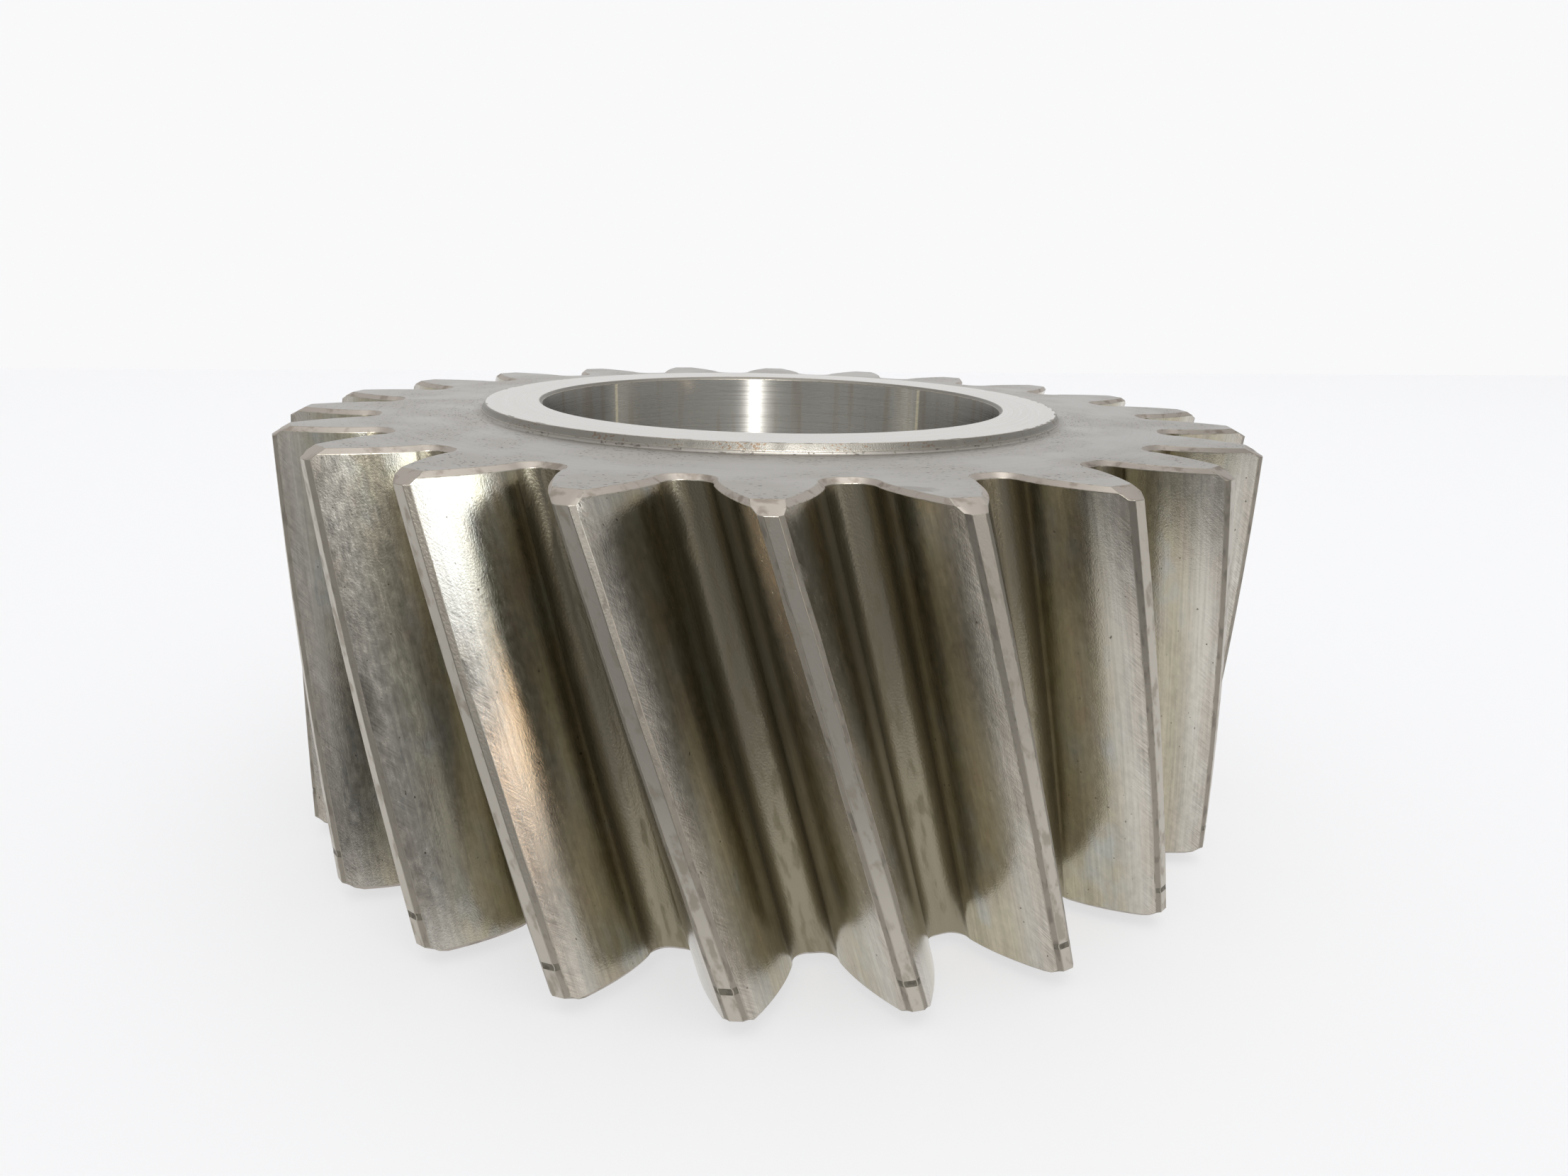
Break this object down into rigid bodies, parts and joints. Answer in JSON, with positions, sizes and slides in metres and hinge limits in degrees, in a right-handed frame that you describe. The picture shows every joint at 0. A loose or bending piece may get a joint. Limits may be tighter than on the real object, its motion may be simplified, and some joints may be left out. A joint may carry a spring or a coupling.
{
  "type": "helical gear wheel",
  "caption": "Steel helical gear wheel with a plain ground bore, low raised hub faces and chamfered left-hand involute teeth.",
  "frame": {"origin": "on the bore axis, in the plane of the lower hub face that the gear rests on", "axes": "+Z along the bore axis and up; a tooth is centred on +X at half height"},
  "size_m": [0.13, 0.13, 0.0559],
  "materials": {
    "ground_steel": "case-hardened alloy steel, turned end faces, ground hub faces, bore and tooth flanks"
  },
  "bodies": {
    "root": {"gear_wheel": "ground_steel"}
  },
  "joints": []
}
